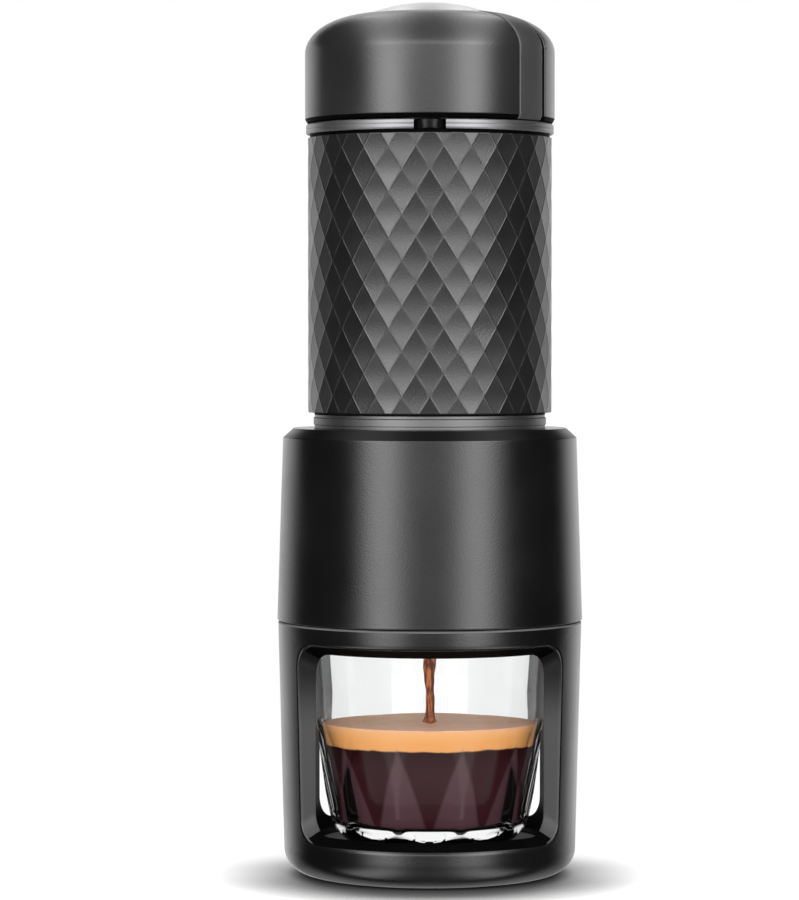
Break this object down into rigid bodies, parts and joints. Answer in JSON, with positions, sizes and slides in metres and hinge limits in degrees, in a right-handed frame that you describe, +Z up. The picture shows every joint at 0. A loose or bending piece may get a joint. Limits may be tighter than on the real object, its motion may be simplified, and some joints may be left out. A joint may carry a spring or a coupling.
{
  "type": "handheld manual espresso maker",
  "caption": "Hand-pumped travel espresso maker: windowed base with a glass cup, brew unit with filter basket, water tank in a diamond grip sleeve, and a pump knob.",
  "frame": {"origin": "centre of the rest face under the base", "axes": "+Z up the body towards the knob, -Y towards the front window, +X to the right seen from the front"},
  "size_m": [0.073, 0.073, 0.2082],
  "materials": {
    "satin_black": "fine satin grain, soft sheen",
    "sleeve_black": "satin, fine grain",
    "gloss_black": "polished black",
    "dark_plastic": "moulded, matt",
    "ivory_plastic": "moulded, smooth",
    "smoky_plastic": "clear smoke tint",
    "black_rubber": "matt",
    "cup_glass": "clear, polished facets",
    "bright_metal": "polished bevels",
    "disc_metal": "fine circular brushing",
    "steel": "fine brushing",
    "aluminium": "satin anodised",
    "brass": "turned"
  },
  "bodies": {
    "base": {"base_shell": "satin_black", "foot_ring": "black_rubber", "cup_mat": "black_rubber"},
    "cup": {"cup": "cup_glass"},
    "brew_unit": {"brew_casing": "satin_black", "brew_chamber": "aluminium", "lower_plate": "dark_plastic", "lower_screws": "steel", "spout": "steel", "spout_gasket": "black_rubber"},
    "basket": {"filter_basket": "steel", "basket_gasket": "black_rubber"},
    "tank": {"tank_body": "smoky_plastic", "tank_sleeve": "sleeve_black", "tank_collar": "gloss_black", "collar_oring": "black_rubber", "shower_screen": "steel", "screen_screw": "steel"},
    "pump_head": {"pump_lid": "dark_plastic", "lid_gasket": "black_rubber", "trim_ring": "bright_metal", "lock_key": "gloss_black", "pump_barrel": "aluminium", "guide_bush": "ivory_plastic", "wiper_seal": "black_rubber", "valve_body": "dark_plastic", "valve_cage": "brass", "valve_retainer": "brass", "nozzle_oring": "black_rubber", "outlet_spring": "steel", "return_spring": "steel"},
    "inlet_valve": {"inlet_ball": "steel"},
    "outlet_valve": {"outlet_ball": "steel"},
    "plunger": {"plunger_tube": "aluminium", "piston_rod": "steel", "piston": "dark_plastic", "piston_seals": "black_rubber", "knob_hub": "dark_plastic", "hub_screws": "steel", "knob_clip": "steel"},
    "knob": {"knob_shell": "satin_black", "knob_disc": "disc_metal", "knob_inserts": "satin_black"}
  },
  "joints": [
    {"name": "brew_lift", "type": "slide", "parent": "base", "child": "brew_unit", "axis": [0, 0, 1], "range_m": [0, 0.1]},
    {"name": "cup_lift", "type": "slide", "parent": "base", "child": "cup", "axis": [0, 0, 1], "range_m": [0, 0.06]},
    {"name": "tank_lift", "type": "slide", "parent": "brew_unit", "child": "tank", "axis": [0, 0, 1], "range_m": [0, 0.07]},
    {"name": "basket_lift", "type": "slide", "parent": "brew_unit", "child": "basket", "axis": [0, 0, 1], "range_m": [0, 0.042]},
    {"name": "head_lift", "type": "slide", "parent": "tank", "child": "pump_head", "axis": [0, 0, 1], "range_m": [0, 0.08]},
    {"name": "pump_stroke", "type": "slide", "parent": "pump_head", "child": "plunger", "axis": [0, 0, 1], "range_m": [0, 0.022], "deforming": ["return_spring"]},
    {"name": "knob_turn", "type": "hinge", "parent": "plunger", "child": "knob", "pos_m": [0, 0, 0.2], "axis": [0, 0, 1], "range_deg": [0, 60]},
    {"name": "inlet_valve_lift", "type": "slide", "parent": "pump_head", "child": "inlet_valve", "axis": [0, 0, 1], "range_m": [0, 0.001]},
    {"name": "outlet_valve_lift", "type": "slide", "parent": "pump_head", "child": "outlet_valve", "axis": [0, 0, -1], "range_m": [0, 0.0012], "stiffness_N_per_m": 40, "springref_m": -0.002, "deforming": ["outlet_spring"]}
  ],
  "couplings": [
    {"joint": "cup_lift", "follows": "brew_lift", "ratio": 0.6},
    {"joint": "basket_lift", "follows": "tank_lift", "ratio": 0.6}
  ]
}
